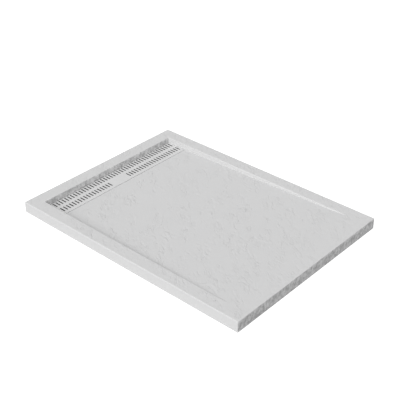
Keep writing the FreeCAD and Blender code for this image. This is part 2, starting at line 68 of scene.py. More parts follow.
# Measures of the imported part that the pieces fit, in millimetres
TRAY_HALF = (600.0, 450.0)
TRAY_TOP = 50.0
RECESS_BACK = -537.0
RECESS_HALF = 390.0
DRAFT = math.tan(math.radians(8.0))
LEDGE_TOP = 19.0
SEAT_FRONT = -427.34
SEAT_LIP = -426.5
ROW_X = (-512.24, -462.24)
SLOTS = 46
GAP_AFTER = 19
GAP_SLOTS = 6

# Shape of the coat, in millimetres
FOOT_ROUND = 1.0  # round a wall's foot, and on the ledge
LEDGE_ROUND = 0.4
MOUTH_ROUND = 1.5  # round a wall's top
FOOT_PART = 0.4  # most of a low wall's height that its foot takes, and its mouth
MOUTH_PART = 0.3
WALL_RUN = 1.3  # least way from a wall's foot to its top
SHELL_BASE = 0.2  # height at which the shell is closed
OUTER_BAND = 40.0  # open edges in this band belong to the outside
SEAT_BACKING = 0.05  # the coat starts this far behind the seat's front
FLOOR_PROBE_Y = 21.3  # off the middle, where faces of the solid meet
LEAST = 0.01

# Lines of the coat's mesh: across half the floor, across a rim, and for each bend and each wall
FLOOR_CELLS = 92
RIM_CELLS = 13
BEND_CELLS = 4
SIDE_CELLS = 11
BEND_TURNS = (22.0, 45.0, 68.0, 90.0)
MOUTH_TURNS = (25.0, 50.0, 75.0, 90.0)
EDGE_TURNS = (22.5, 45.0, 67.5, 90.0)

# Where its lines lie on the drain wall (heights), on the ledge (from the wall) and on the lip
DRAIN_WALL_LINES = (45.0, 41.0, 37.0, 33.0, 29.0, 26.5, 22.0)
LEDGE_LINES = (0.5, 1.3, 2.6, 4.4)
SEAT_LINE = (0.35, 21.6)
LIP_LINES = ((-0.1, 24.2), (0.2, 24.7), (0.8, 25.0))

# Studio floor, in metres: half its side, and how far it lies under the slab
FLOOR_HALF = 12.0
FLOOR_GAP = 0.0005
FLOOR_WHITE = 0.72  # what the floor's own light adds to bring it to white for the camera
DARK_BORDER = 10.0  # in millimetres: the floor is dark up to this far inside the slab's sides

# Shape of the cover
ROUND_END = 0.4995  # a slot end's radius by the slot's width: just under a half, so the sides don't meet
END_CELLS = 4
CORNER_CELLS = 5
LEAST_CORNER = 0.3  # in millimetres, as the next two are
HEM_EDGE = 0.3
WELD = 0.04
# below these corners the hem is dark, painted shade in the gap at the cover's edge
PAINTED_HEM = 3  # corners of the hem's profile, from the top, that the paint covers

# Broken edges of the spine and the pads, in millimetres
SPINE_BEVEL = 0.5
PAD_BEVEL = 0.2

# Angles, in degrees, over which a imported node's edge is broken, and a finished piece's edge is sharp
BREAK_OVER = 32.0
SHARP_OVER = 40.0
SHEET_SHARP_OVER = 38.0

# How far, in millimetres, the slate relief takes to come in from an edge of the coat
FADE_FROM_FOOT = 15.0
FADE_FROM_MOUTH = 6.0
FADE_FROM_SEAT = 12.0
FADE_FROM_RIM = 9.0
FULL_WALL = 5.0

# Height over which the broken drain wall is painted paler, as painted light against the recess's shade, in
# millimetres; below it, behind the cover, it takes the outer sides' darker tone as painted shade
PALE_ABOVE = 27.0

# Lowest and highest that the relief may go from the coat, in metres
RELIEF_LIMITS = (-0.0002, 0.0009)

# Which clumps and which grit the broken sides have
CLUMP_SEED = 3.0
GRIT_SEED = 4.0

# Shares of the relief and of the painted shade along a wall's foot, on a full wall
WALL_RELIEF = 0.15
FOOT_RELIEF = 0.05
FOOT_SHADE = 0.6


# ---------------------------------------------------------------- settings


def length(name, text, default, low=0.0):
    """A length setting, given here in millimetres and kept in metres."""
    return FloatProperty(
        name=name, description=text, default=default * MM, min=low * MM, subtype="DISTANCE", precision=5
    )


def angle(name, text, default):
    """An angle setting, given here in degrees."""
    return FloatProperty(name=name, description=text, default=math.radians(default), subtype="ANGLE")


def colour(name, text, default):
    """A linear colour setting."""
    return FloatVectorProperty(
        name=name, description=text, default=default, size=3, min=0.0, max=1.0, subtype="COLOR"
    )


def share(name, text, default):
    """A setting from 0 to 1."""
    return FloatProperty(name=name, description=text, default=default, min=0.0, max=1.0, subtype="FACTOR")


class SlabSettings(bpy.types.PropertyGroup):
    """Sizes and colours of the gel-coated slab."""

    cell: length("Mesh cell", "Distance between mesh lines", 4.2, 1.0)
    proud: length("Gel coat", "Thickness of the coat over the casting", 0.3)
    edge_round: length("Outer edge", "Radius of the outer top edge", 2.2, 0.2)
    corner_round: length("Recess corner", "Radius of the recess corners", 4.7, 0.5)
    chip_size: length("Chip size", "Size of a slate flake", 95.0, 5.0)
    step_depth: length("Step depth", "Height of one slate step", 0.4)
    streak_angle: angle("Streak angle", "Direction of the slate's grain, from +X", -37.0)
    edge_depth: length("Cut edge depth", "Roughness of the short sides", 0.5)
    seed: IntProperty(name="Seed", description="Which slate pattern", default=7, min=0)
    coat: colour("Coat", "Colour of the slab", (0.615, 0.615, 0.617))
    # near black: painted shade for the channel under the cover, and the tray's underside
    casting: colour("Casting", "Colour of the bare casting", (0.035, 0.035, 0.036))
    roughness: share("Roughness", "How matt the coat is", 0.62)


class CoverSettings(bpy.types.PropertyGroup):
    """Sizes and colours of the drain cover."""

    slot_length: length("Slot length", "Slot, along X", 31.0, 1.0)
    slot_width: length("Slot width", "Slot, along Y", 5.0, 0.5)
    slot_pitch: length("Slot pitch", "Slot to slot", 16.57, 1.0)
    slot_edge: length("Slot edge", "Rounding of a slot's edge", 0.45)
    sheet: length("Sheet", "Thickness of the sheet", 2.0, 0.5)
    bend: length("Bend", "Outer radius of the folded edges", 1.2, 0.2)
    corner: length("Corner", "Radius of the cover's corners", 4.0, 0.5)
    paint: colour("Paint", "Colour of the powder coat", (0.63, 0.63, 0.632))
    # near black: painted shade in the slots, under the sheet and in the gap at the cover's edge
    bare_and_shade: colour("Bare sheet", "Colour of the slots' cut walls and the underside", (0.05, 0.05, 0.05))
    roughness: share("Roughness", "How matt the powder coat is", 0.45)


class HardwareSettings(bpy.types.PropertyGroup):
    """Finish of the waste, strainer, gaskets and pads."""

    bevel: length("Bevel", "Broken edges of the turned parts", 0.25)
    steel: colour("Steel", "Colour of the stainless steel", (0.58, 0.575, 0.565))
    rubber: colour("Rubber", "Colour of the rubber", (0.035, 0.035, 0.037))
    turning: length("Turning marks", "Pitch of the turning marks", 0.5, 0.05)


class StageSettings(bpy.types.PropertyGroup):
    """Studio round the tray."""

    lens: FloatProperty(
        name="Lens", description="Focal length on a 36 mm sensor", default=80.06, min=1.0, unit="CAMERA"
    )
    azimuth: angle("Azimuth", "Camera's turn from -Y towards +X", 41.748)
    elevation: angle("Elevation", "Camera's height angle", 32.406)
    place: FloatVectorProperty(
        name="Place",
        description="Where the camera stands",
        default=(2.1312, -2.3692, 2.1237),
        subtype="TRANSLATION",
    )
    sun_height: angle("Key height", "Height angle of the key light", 45.0)
    sun_turn: angle("Key turn", "Key light's turn from -Y towards +X", 7.0)
    sun_size: angle("Key size", "Apparent size of the key light", 66.0)
    sun_power: FloatProperty(
        name="Key power", description="Strength of the key light, in W/m2", default=2.75, min=0.0
    )
    sky: FloatProperty(
        name="Sky", description="Strength of the even studio light", default=0.39, min=0.0, max=1.0
    )


def in_millimetres(settings):
    """A group of settings as plain values, its lengths in millimetres."""
    plain = {}
    for key in settings.__annotations__:
        value = getattr(settings, key)
        kind = settings.bl_rna.properties[key]
        plain[key] = value / MM if kind.type == "FLOAT" and kind.unit == "LENGTH" else value
    return SimpleNamespace(**plain)


GROUPS = (
    ("tray_slab", SlabSettings),
    ("tray_cover", CoverSettings),
    ("tray_hardware", HardwareSettings),
    ("tray_stage", StageSettings),
)


# ---------------------------------------------------------------- node trees


def add(tree, kind, inputs=None, **settings):
    """A node with its settings, and with values or links on its inputs."""
    made = tree.nodes.new(kind)
    for name, value in settings.items():
        setattr(made, name, value)
    for key, value in (inputs or {}).items():
        socket = made.inputs[key]
        if isinstance(value, bpy.types.NodeSocket):
            tree.links.new(value, socket)
        else:
            socket.default_value = value
    return made


def sums(tree, operation, *values):
    """Value of a Math node."""
    return add(tree, "ShaderNodeMath", dict(enumerate(values)), operation=operation).outputs[0]


def painted_share(tree, name):
    """Value that the mesh carries in one of its attributes, in a material."""
    return add(tree, "ShaderNodeAttribute", attribute_name=name).outputs["Fac"]


def toned(tint, factor):
    """A colour made darker or lighter."""
    return tuple(min(c * factor, 1.0) for c in tint)


def ramp(tree, value, low, high, start=0.0, end=1.0, smooth=True):
    """A value mapped from low..high to start..end and held there."""
    made = add(
        tree,
        "ShaderNodeMapRange",
        {0: value, 1: low, 2: high, 3: start, 4: end},
        interpolation_type="SMOOTHSTEP" if smooth else "LINEAR",
    )
    return made.outputs[0]


def blend_colours(tree, share_socket, first, second):
    """Mix of two colours by a share."""
    made = add(tree, "ShaderNodeMix", {0: share_socket}, data_type="RGBA")
    for socket, value in ((made.inputs[6], first), (made.inputs[7], second)):
        if isinstance(value, bpy.types.NodeSocket):
            tree.links.new(value, socket)
        else:
            socket.default_value = (*value, 1.0)
    return made.outputs[2]


def noise(tree, place, scale, detail=2.0, rough=0.5, distort=0.0, w=None):
    """Noise at a place, its scale in repeats per metre; with w it is four-dimensional."""
    inputs = {"Vector": place, "Scale": scale, "Detail": detail, "Roughness": rough, "Distortion": distort}
    if w is not None:
        inputs["W"] = w
    made = add(tree, "ShaderNodeTexNoise", inputs, noise_dimensions="3D" if w is None else "4D")
    return made.outputs[0]


def stretched(tree, place, factors):
    """A place multiplied by a factor along each axis."""
    made = add(tree, "ShaderNodeVectorMath", {0: place, 1: factors}, operation="MULTIPLY")
    return made.outputs[0]


def slate_height(tree, place, streak, per_metre, step, seed):
    """Height in metres of the slate relief at a place: low flakes with ragged edges along the grain."""
    along = {"Vector": place, "Angle": sums(tree, "MULTIPLY", streak, -1.0)}
    turn = add(tree, "ShaderNodeVectorRotate", along, rotation_type="Z_AXIS").outputs[0]
    grain = stretched(tree, turn, (0.4, 1.0, 1.0))

    def layer(repeats, **look):
        """Noise along the grain, with so many repeats in a flake's length."""
        return noise(tree, grain, sums(tree, "MULTIPLY", per_metre, repeats), w=seed, **look)

    # ten levels, each a smooth fall with a step up in its middle
    body = layer(1.3, detail=6.0, rough=0.6, distort=0.3)
    levels = sums(tree, "MULTIPLY", body, 10.0)
    part = sums(tree, "SUBTRACT", levels, sums(tree, "FLOOR", levels))
    lip = sums(tree, "SUBTRACT", ramp(tree, part, 0.44, 0.56), part)
    # patches where the steps show, with small chips in them
    region = layer(2.6, detail=4.0, rough=0.6, distort=0.2)
    patch = ramp(tree, region, 0.47, 0.56)
    flakes = sums(tree, "MULTIPLY", lip, sums(tree, "MULTIPLY", patch, 1.9))
    crumbs = layer(8.0, detail=4.0, rough=0.65, distort=0.2)
    chips = ramp(tree, crumbs, 0.58, 0.62)
    pits = sums(tree, "MULTIPLY", chips, sums(tree, "MULTIPLY", patch, -1.0))
    return sums(tree, "MULTIPLY", sums(tree, "ADD", flakes, pits), step)


def edge_height(tree, place):
    """Share from 0 to 1 of the depth of the broken sides: clumps of grit with pits between."""
    tall = stretched(tree, place, (1.0, 1.0, 0.75))
    coarse = ramp(tree, noise(tree, tall, 72.0, detail=6.0, rough=0.64, w=CLUMP_SEED), 0.35, 0.65)
    grit = ramp(tree, noise(tree, tall, 340.0, detail=3.0, rough=0.55, w=GRIT_SEED), 0.3, 0.7)
    return sums(tree, "ADD", sums(tree, "MULTIPLY", coarse, 0.8), sums(tree, "MULTIPLY", grit, 0.2))


def new_material(name):
    """A new material, its tree, its principled shader and the object's own coordinates."""
    material = bpy.data.materials.new(name)
    material.use_nodes = True
    tree = material.node_tree
    tree.nodes.clear()
    shader = add(tree, "ShaderNodeBsdfPrincipled")
    out = add(tree, "ShaderNodeOutputMaterial")
    tree.links.new(shader.outputs[0], out.inputs["Surface"])
    place = add(tree, "ShaderNodeTexCoord").outputs["Object"]
    return material, tree, shader, place


def set_bump(tree, shader, height, strength=1.0):
    """Bump from a height in metres."""
    bump = add(tree, "ShaderNodeBump", {"Height": height, "Strength": strength, "Distance": 1.0})
    tree.links.new(bump.outputs[0], shader.inputs["Normal"])


def slate_material(s):
    """Matt gel coat over slate relief, with broken short sides."""
    material, tree, shader, place = new_material("slate gel coat")
    side = painted_share(tree, "cut_edge")
    inner = painted_share(tree, "inner_wall")
    # painted shade along the walls' foot: a share that the mesh carries
    foot = painted_share(tree, "painted_foot_shade")
    coat = tuple(s.coat)

    per_metre = 1.0 / (s.chip_size * MM)
    height = slate_height(tree, place, s.streak_angle, per_metre, s.step_depth * MM, float(s.seed))
    grain = noise(tree, place, 620.0, detail=3.0, rough=0.6)
    fine = sums(tree, "MULTIPLY", sums(tree, "SUBTRACT", grain, 0.5), 0.05 * MM)
    fleck = edge_height(tree, place)
    broken = sums(tree, "MULTIPLY", fleck, s.edge_depth * MM * 1.4)
    face = sums(tree, "ADD", sums(tree, "MULTIPLY", height, painted_share(tree, "relief")), fine)
    set_bump(tree, shader, sums(tree, "ADD", face, sums(tree, "MULTIPLY", broken, side)))

    # the coat is almost even; a wall is a little darker, and the line along its foot is painted shade
    cloud = ramp(tree, noise(tree, place, 16.0, detail=5.0, rough=0.6), 0.3, 0.7, smooth=False)
    tone = blend_colours(tree, cloud, toned(coat, 0.992), toned(coat, 1.008))
    wall = blend_colours(tree, inner, tone, toned(coat, 0.965))
    # painted shade: the coat up to 14 percent darker along the walls' foot
    smooth = blend_colours(tree, foot, wall, toned(coat, 0.86))
    # broken stone: dark in the pits and pale on the grit; darker outside than on the drain wall, painted
    # shade on the outer sides and painted light on the drain wall
    deep = blend_colours(tree, inner, toned(coat, 0.53), toned(coat, 0.72))
    high = blend_colours(tree, inner, toned(coat, 1.13), toned(coat, 1.32))
    bare_and_shade = blend_colours(tree, fleck, deep, high)
    tree.links.new(blend_colours(tree, side, smooth, bare_and_shade), shader.inputs["Base Color"])
    rough = ramp(tree, grain, 0.3, 0.7, s.roughness - 0.06, s.roughness + 0.08, smooth=False)
    tree.links.new(rough, shader.inputs["Roughness"])
    shader.inputs["Specular IOR Level"].default_value = 0.35
    return material


def casting_shade_material(s):
    """Casting of resin and ground stone, uncoated in the channel and underneath; its near-black colour is
    painted shade for the channel seen through the slots.
    """
    material, tree, shader, place = new_material("stone casting painted dark as shade")
    grains = add(tree, "ShaderNodeTexVoronoi", {"Vector": place, "Scale": 700.0}, feature="F1")
    grit = grains.outputs["Distance"]
    cloud = noise(tree, place, 26.0, detail=5.0, rough=0.6)
    speck = ramp(tree, grit, 0.15, 0.75)
    base = tuple(s.casting)
    dark = blend_colours(tree, speck, toned(base, 0.72), toned(base, 1.12))
    tone = blend_colours(tree, ramp(tree, cloud, 0.35, 0.65), dark, base)
    tree.links.new(tone, shader.inputs["Base Color"])
    swell = sums(tree, "MULTIPLY", cloud, 0.6 * MM)
    set_bump(tree, shader, sums(tree, "ADD", sums(tree, "MULTIPLY", grit, 0.2 * MM), swell), 0.8)
    shader.inputs["Roughness"].default_value = 0.78
    return material


def powder_material(name, paint, roughness, bare_and_shade=None):
    """Powder coat: a fine orange-peel skin; the faces that carry the attribute take a dark colour, painted
    shade in the slots and the gap at the cover's edge.
    """
    material, tree, shader, place = new_material(name)
    peel = noise(tree, place, 900.0, detail=2.0, rough=0.5)
    cloud = noise(tree, place, 14.0, detail=3.0, rough=0.5)
    patchy = ramp(tree, cloud, 0.3, 0.7, smooth=False)
    tone = blend_colours(tree, patchy, toned(paint, 0.97), toned(paint, 1.02))
    # those faces take the dark colour: painted shade
    if bare_and_shade is not None:
        inside = painted_share(tree, "painted_shade_sheet")
        tone = blend_colours(tree, inside, tone, bare_and_shade)
    tree.links.new(tone, shader.inputs["Base Color"])
    rough = ramp(tree, cloud, 0.3, 0.7, roughness - 0.04, roughness + 0.06, smooth=False)
    tree.links.new(rough, shader.inputs["Roughness"])
    set_bump(tree, shader, sums(tree, "MULTIPLY", peel, 0.06 * MM), 0.7)
    return material


def rubber_material(name, tint, bloom_scale):
    """Moulded rubber with a fine matt skin and dusty bloom."""
    material, tree, shader, place = new_material(name)
    skin = noise(tree, place, 1500.0, detail=3.0, rough=0.6)
    bloom = ramp(tree, noise(tree, place, bloom_scale, detail=4.0, rough=0.65), 0.4, 0.75)
    dusty = tuple(c * 2.2 + 0.015 for c in tint)
    tree.links.new(blend_colours(tree, bloom, tint, dusty), shader.inputs["Base Color"])
    tree.links.new(ramp(tree, skin, 0.3, 0.7, 0.62, 0.8, smooth=False), shader.inputs["Roughness"])
    set_bump(tree, shader, sums(tree, "MULTIPLY", skin, 0.08 * MM), 0.6)
    return material


def turned_material(name, tint, centre, pitch, roughness):
    """Stainless steel with turning marks round a vertical axis."""
    material, tree, shader, place = new_material(name)
    to_centre = {0: place, 1: (-centre[0], -centre[1], 0.0)}
    shifted = add(tree, "ShaderNodeVectorMath", to_centre, operation="ADD").outputs[0]
    parts = add(tree, "ShaderNodeSeparateXYZ", {0: shifted}).outputs
    squares = [sums(tree, "POWER", parts[k], 2.0) for k in (0, 1)]
    radius = sums(tree, "SQRT", sums(tree, "ADD", *squares))
    along = add(tree, "ShaderNodeCombineXYZ", {0: radius, 1: parts[2], 2: 0.0}).outputs[0]
    rings = noise(tree, along, 1.0 / (pitch * MM), detail=2.0, rough=0.6)
    smear = noise(tree, place, 60.0, detail=4.0, rough=0.6)
    tone = blend_colours(tree, rings, toned(tint, 0.82), toned(tint, 1.12))
    tree.links.new(tone, shader.inputs["Base Color"])
    shader.inputs["Metallic"].default_value = 1.0
    base = ramp(tree, rings, 0.3, 0.7, roughness - 0.07, roughness + 0.09, smooth=False)
    rough = sums(tree, "ADD", base, ramp(tree, smear, 0.45, 0.75, 0.0, 0.12))
    tree.links.new(rough, shader.inputs["Roughness"])
    set_bump(tree, shader, sums(tree, "MULTIPLY", rings, 0.02 * MM), 0.8)
    return material


# ---------------------------------------------------------------- meshes


def piece_from(bm, name, material, body, hidden):
    """Turns a bmesh into a piece that rides on a body."""
    mesh = bpy.data.meshes.new(name)
    bm.to_mesh(mesh)
    bm.free()
    mesh.materials.append(material)
    piece = bpy.data.objects.new(name, mesh)
    bpy.context.scene.collection.objects.link(piece)
    place_piece(piece, body, hidden)


def place_piece(piece, body, hidden=()):
    """Declares what a finished piece rides on and stands for."""
    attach(piece, body)
    if hidden:
        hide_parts(*hidden)


def bake(piece):
    """Turns a piece and its modifiers into one plain mesh, and takes the modifiers off."""
    graph = bpy.context.evaluated_depsgraph_get()
    mesh = bpy.data.meshes.new_from_object(piece.evaluated_get(graph))
    mesh.name = piece.name
    old = piece.data
    piece.modifiers.clear()
    piece.data = mesh
    bpy.data.meshes.remove(old)
    return piece


def run_tree(name, mesh, tree, values):
    """Runs a node tree on a mesh with values on its named inputs, and returns the baked piece."""
    piece = bpy.data.objects.new(name, mesh)
    bpy.context.scene.collection.objects.link(piece)
    modifier = piece.modifiers.new(tree.name, "NODES")
    modifier.node_group = tree
    for item in tree.interface.items_tree:
        if item.item_type == "SOCKET" and item.in_out == "INPUT" and item.name in values:
            modifier[item.identifier] = values[item.name]
    return bake(piece)


def new_tree(name, inputs, takes_mesh=True):
    """An empty geometry tree with named inputs; returns it, its input node and its output node."""
    tree = bpy.data.node_groups.new(name, "GeometryNodeTree")
    if takes_mesh:
        tree.interface.new_socket("Geometry", in_out="INPUT", socket_type="NodeSocketGeometry")
    for label, kind in inputs:
        tree.interface.new_socket(label, in_out="INPUT", socket_type=kind)
    tree.interface.new_socket("Geometry", in_out="OUTPUT", socket_type="NodeSocketGeometry")
    return tree, add(tree, "NodeGroupInput"), add(tree, "NodeGroupOutput")


def close_tree(tree, given, out, geometry):
    """Ends a tree in Realize Instances and Set Material."""
    whole = add(tree, "GeometryNodeRealizeInstances", {0: geometry}).outputs[0]
    paint = {"Geometry": whole, "Material": given.outputs["Material"]}
    tree.links.new(add(tree, "GeometryNodeSetMaterial", paint).outputs[0], out.inputs[0])


# ---------------------------------------------------------------- slab


def spread(start, end, count):
    """Places that part start to end into even cells, both ends included."""
    return [start + (end - start) * i / count for i in range(count + 1)]


def steps(start, end, pitch):
    """Even places from start to end, about a pitch apart, both ends included."""
    return spread(start, end, max(1, round(abs(end - start) / pitch)))


def floor_heights(places):
    """Height of the casting's floor at each place along X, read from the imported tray."""
    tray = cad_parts["tray_body"]
    faces = [tuple(p.vertices) for p in tray.data.polygons]
    solid = BVHTree.FromPolygons([v.co for v in tray.data.vertices], faces)
    found = []
    for x in places:
        hit = solid.ray_cast(Vector((x * MM, FLOOR_PROBE_Y * MM, 0.2)), Vector((0.0, 0.0, -1.0)))[0]
        found.append(hit.z / MM if hit else TRAY_TOP)
    return found


def slab_lines(s):
    """Mesh lines along X: (x, height at the middle, whether the drain recess is open there)."""
    start, end = -TRAY_HALF[0] + s.edge_round, TRAY_HALF[0] - s.edge_round
    back = RECESS_BACK + s.proud
    lines = [(x, TRAY_TOP, False) for x in steps(start, back - MOUTH_ROUND, s.cell)]
    for turn in MOUTH_TURNS:
        a = math.radians(turn)
        x = back - MOUTH_ROUND * (1.0 - math.sin(a))
        lines.append((x, TRAY_TOP - MOUTH_ROUND * (1.0 - math.cos(a)), False))
    lines += [(back + (TRAY_TOP - z) * DRAFT, z, False) for z in DRAIN_WALL_LINES]
    foot = back + (TRAY_TOP - LEDGE_TOP) * DRAFT
    seat = SEAT_FRONT - SEAT_BACKING
    ledge = [foot] + [foot + x for x in LEDGE_LINES]
    lines += [(x, LEDGE_TOP, True) for x in ledge + steps(ledge[-1], seat, s.cell)[1:-1]]
    lines += [(seat, LEDGE_TOP, False), (seat + SEAT_LINE[0], SEAT_LINE[1], False)]
    lines += [(SEAT_LIP + x, z, False) for x, z in LIP_LINES]
    rest = steps(lines[-1][0], end, s.cell)[1:]
    lines += [(x, min(z, TRAY_TOP), False) for x, z in zip(rest, floor_heights(rest))]
    return lines


def wall_y(s, x, z):
    """Half width of the recess at a height, with its rounded corners at the drain wall."""
    straight = RECESS_HALF - (TRAY_TOP - z) * DRAFT - s.proud
    depth = x - (RECESS_BACK + (TRAY_TOP - z) * DRAFT) - s.proud
    reach = s.corner_round
    if depth < reach:
        within = min(reach - depth, reach)
        straight -= reach - math.sqrt(reach * reach - within * within)
    return straight


def slab_profile(s, x, middle):
    """Half profile along Y at one mesh line, from the middle outwards.

    Each point is (y, z, relief share, share of the painted shade along the foot, wall share).
    """
    drop = TRAY_TOP - middle
    full = min(drop / FULL_WALL, 1.0)
    round_up = min(LEDGE_ROUND if x < SEAT_LIP + 1.0 else FOOT_ROUND, FOOT_PART * drop)
    mouth = min(MOUTH_ROUND, MOUTH_PART * drop)
    low, high = middle + round_up, TRAY_TOP - mouth
    foot = min(wall_y(s, x, low), wall_y(s, x, TRAY_TOP) - WALL_RUN)
    brink = wall_y(s, x, high)

    half = []
    for i in range(FLOOR_CELLS + 1):
        y = (foot - FOOT_ROUND) * i / FLOOR_CELLS
        away = foot - y
        relief = min((away + LEAST) / (FADE_FROM_FOOT * full + LEAST), 1.0)
        # painted shade on the floor: darkest at a wall's foot, fading as the wall hides less of the sky
        shade = (1.0 - away / math.hypot(away, drop)) ** 2 if drop > 5 * LEAST else 0.0
        half.append((y, middle, relief, shade, 0.0))
    # the round at the foot takes part of the painted shade
    for turn in BEND_TURNS:
        a = math.radians(turn)
        y, z = foot - FOOT_ROUND * (1.0 - math.sin(a)), middle + round_up * (1.0 - math.cos(a))
        half.append((y, z, 1.0 - (1.0 - FOOT_RELIEF) * full, FOOT_SHADE * full, 0.0))
    for i in range(1, BEND_CELLS + 1):
        y, z = foot + (brink - foot) * i / BEND_CELLS, low + (high - low) * i / BEND_CELLS
        half.append((min(y, wall_y(s, x, z)), z, 1.0 - (1.0 - WALL_RELIEF) * full, 0.0, full))
    for turn in BEND_TURNS:
        a = math.radians(turn)
        y, z = brink + MOUTH_ROUND * (1.0 - math.cos(a)), TRAY_TOP - mouth * (1.0 - math.sin(a))
        half.append((y, z, 1.0 - full, 0.0, 0.0))
    start, end = brink + MOUTH_ROUND, TRAY_HALF[1] - s.edge_round
    half += [(y, TRAY_TOP, 1.0, 0.0, 0.0) for y in spread(start, end, RIM_CELLS)[1:]]
    return half


def relief_share(x, y):
    """How much of the slate relief an edge of the recess or of the slab leaves at a place."""
    found = min((TRAY_HALF[0] - abs(x)) / FADE_FROM_RIM, (TRAY_HALF[1] - abs(y)) / FADE_FROM_RIM, 1.0)
    if abs(y) < RECESS_HALF:
        found = max(found, 0.0) * min(abs(x - RECESS_BACK) / FADE_FROM_MOUTH, 1.0)
        if x > RECESS_BACK:
            found *= min(max((x - SEAT_LIP) / FADE_FROM_SEAT, 0.0), 1.0)
    return max(found, 0.0)


def slab_mesh(s):
    """Closed coat of the slab: rim, walls, floor and outer sides, open down to the ledge over the drain."""
    bm = bmesh.new()
    names = ("relief", "cut_edge", "inner_wall", "painted_foot_shade")
    for name in names:
        bm.verts.layers.float.new(name)
    relief, cut, inner, shade = (bm.verts.layers.float[name] for name in names)
    lines = slab_lines(s)
    columns = []
    for x, middle, _ in lines:
        half = slab_profile(s, x, middle)
        column = []
        for y, z, kept, foot, wall in [(-y, *rest) for y, *rest in reversed(half[1:])] + half:
            vert = bm.verts.new((x * MM, y * MM, (z + s.proud) * MM))
            vert[relief] = kept * relief_share(x, y)
            vert[inner] = wall
            vert[shade] = foot
            column.append(vert)
        columns.append(column)
    count = len(columns[0])
    # the drafted wall at the drain end is broken like the short sides
    clear = RIM_CELLS + 2 * BEND_CELLS + 1
    for (x, middle, _), column in zip(lines, columns):
        if RECESS_BACK <= x < SEAT_FRONT and middle > LEDGE_TOP:
            for vert in column[clear : count - clear]:
                vert[cut] = 1.0
                # painted light above PALE_ABOVE, painted shade along the wall's foot below it
                vert[inner] = 1.0 if middle > PALE_ABOVE else 0.0
    skip = RIM_CELLS + 3 * BEND_CELLS
    for i, (a, b) in enumerate(zip(columns, columns[1:])):
        open_here = lines[i][2] and (lines[i + 1][2] or lines[i + 1][0] <= SEAT_FRONT + LEAST)
        for j in range(count - 1):
            if not (open_here and skip <= j < count - 1 - skip):
                bm.faces.new((a[j], b[j], b[j + 1], a[j + 1]))
    side_walls(s, bm, cut, columns)
    loose = [v for v in bm.verts if not v.link_faces]
    bmesh.ops.delete(bm, geom=loose, context="VERTS")
    close_slab(bm)
    return bm


def side_walls(s, bm, cut, columns):
    """Rounds the outer edge over and carries the sides down."""
    loop = [(v, (-1.0, 0.0, 0.0)) for v in reversed(columns[0])]
    loop += [(c[0], (0.0, -1.0, 0.0)) for c in columns]
    loop += [(v, (1.0, 0.0, 0.0)) for v in columns[-1]]
    loop += [(c[-1], (0.0, 1.0, 0.0)) for c in reversed(columns)]
    ring = []
    for (vert, way), (follower, turned) in zip(loop, loop[1:] + loop[:1]):
        ring.append((vert, Vector(way)))
        if follower is vert:
            ring += [(vert, Vector(way).slerp(Vector(turned), part)) for part in (0.33, 0.67)]
    radius = s.edge_round
    # (outwards, down, how broken a short side is there)
    offsets = []
    for turn in EDGE_TURNS:
        a = math.radians(turn)
        offsets.append((radius * math.sin(a), radius * (1.0 - math.cos(a)), 0.0 if turn < 60 else 0.5))
    drop = TRAY_TOP - radius - 1.0
    for i in range(1, SIDE_CELLS + 1):
        offsets.append((radius, radius + drop * i / SIDE_CELLS, 1.0 if i < SIDE_CELLS else 0.6))
    before = [vert for vert, _ in ring]
    for out, down, strength in offsets:
        reach = out + (s.proud if down >= radius else s.proud * out / radius)
        now = []
        for vert, way in ring:
            spot = vert.co + way * reach * MM
            fresh = bm.verts.new((spot.x, spot.y, vert.co.z - down * MM))
            fresh[cut] = strength * abs(way.x) ** 3
            now.append(fresh)
        for k, vert in enumerate(now):
            n = (k + 1) % len(ring)
            corners = list(dict.fromkeys((before[k], vert, now[n], before[n])))
            if len(corners) > 2:
                bm.faces.new(corners)
        before = now


def close_slab(bm):
    """Closes the coat inside the casting, so that it is one solid shell."""
    base = SHELL_BASE * MM
    edges = [e for e in bm.edges if e.is_boundary]
    wide, deep = ((half - OUTER_BAND) * MM for half in TRAY_HALF)
    inner = [e for e in edges if all(abs(v.co.x) < wide and abs(v.co.y) < deep for v in e.verts)]
    # faces are made one by one, so that they come in the same order in each run
    under = {v: bm.verts.new(v.co, v) for v in dict.fromkeys(v for e in inner for v in e.verts)}
    for first, second in [tuple(e.verts) for e in inner]:
        bm.faces.new((first, second, under[second], under[first]))
    edges = [e for e in bm.edges if e.is_boundary]
    for vert in {v for e in edges for v in e.verts}:
        vert.co.z = base
    for edge in edges:
        edge.smooth = False
    bmesh.ops.triangle_fill(bm, edges=edges, use_beauty=False, use_dissolve=False)
    bmesh.ops.recalc_face_normals(bm, faces=bm.faces)


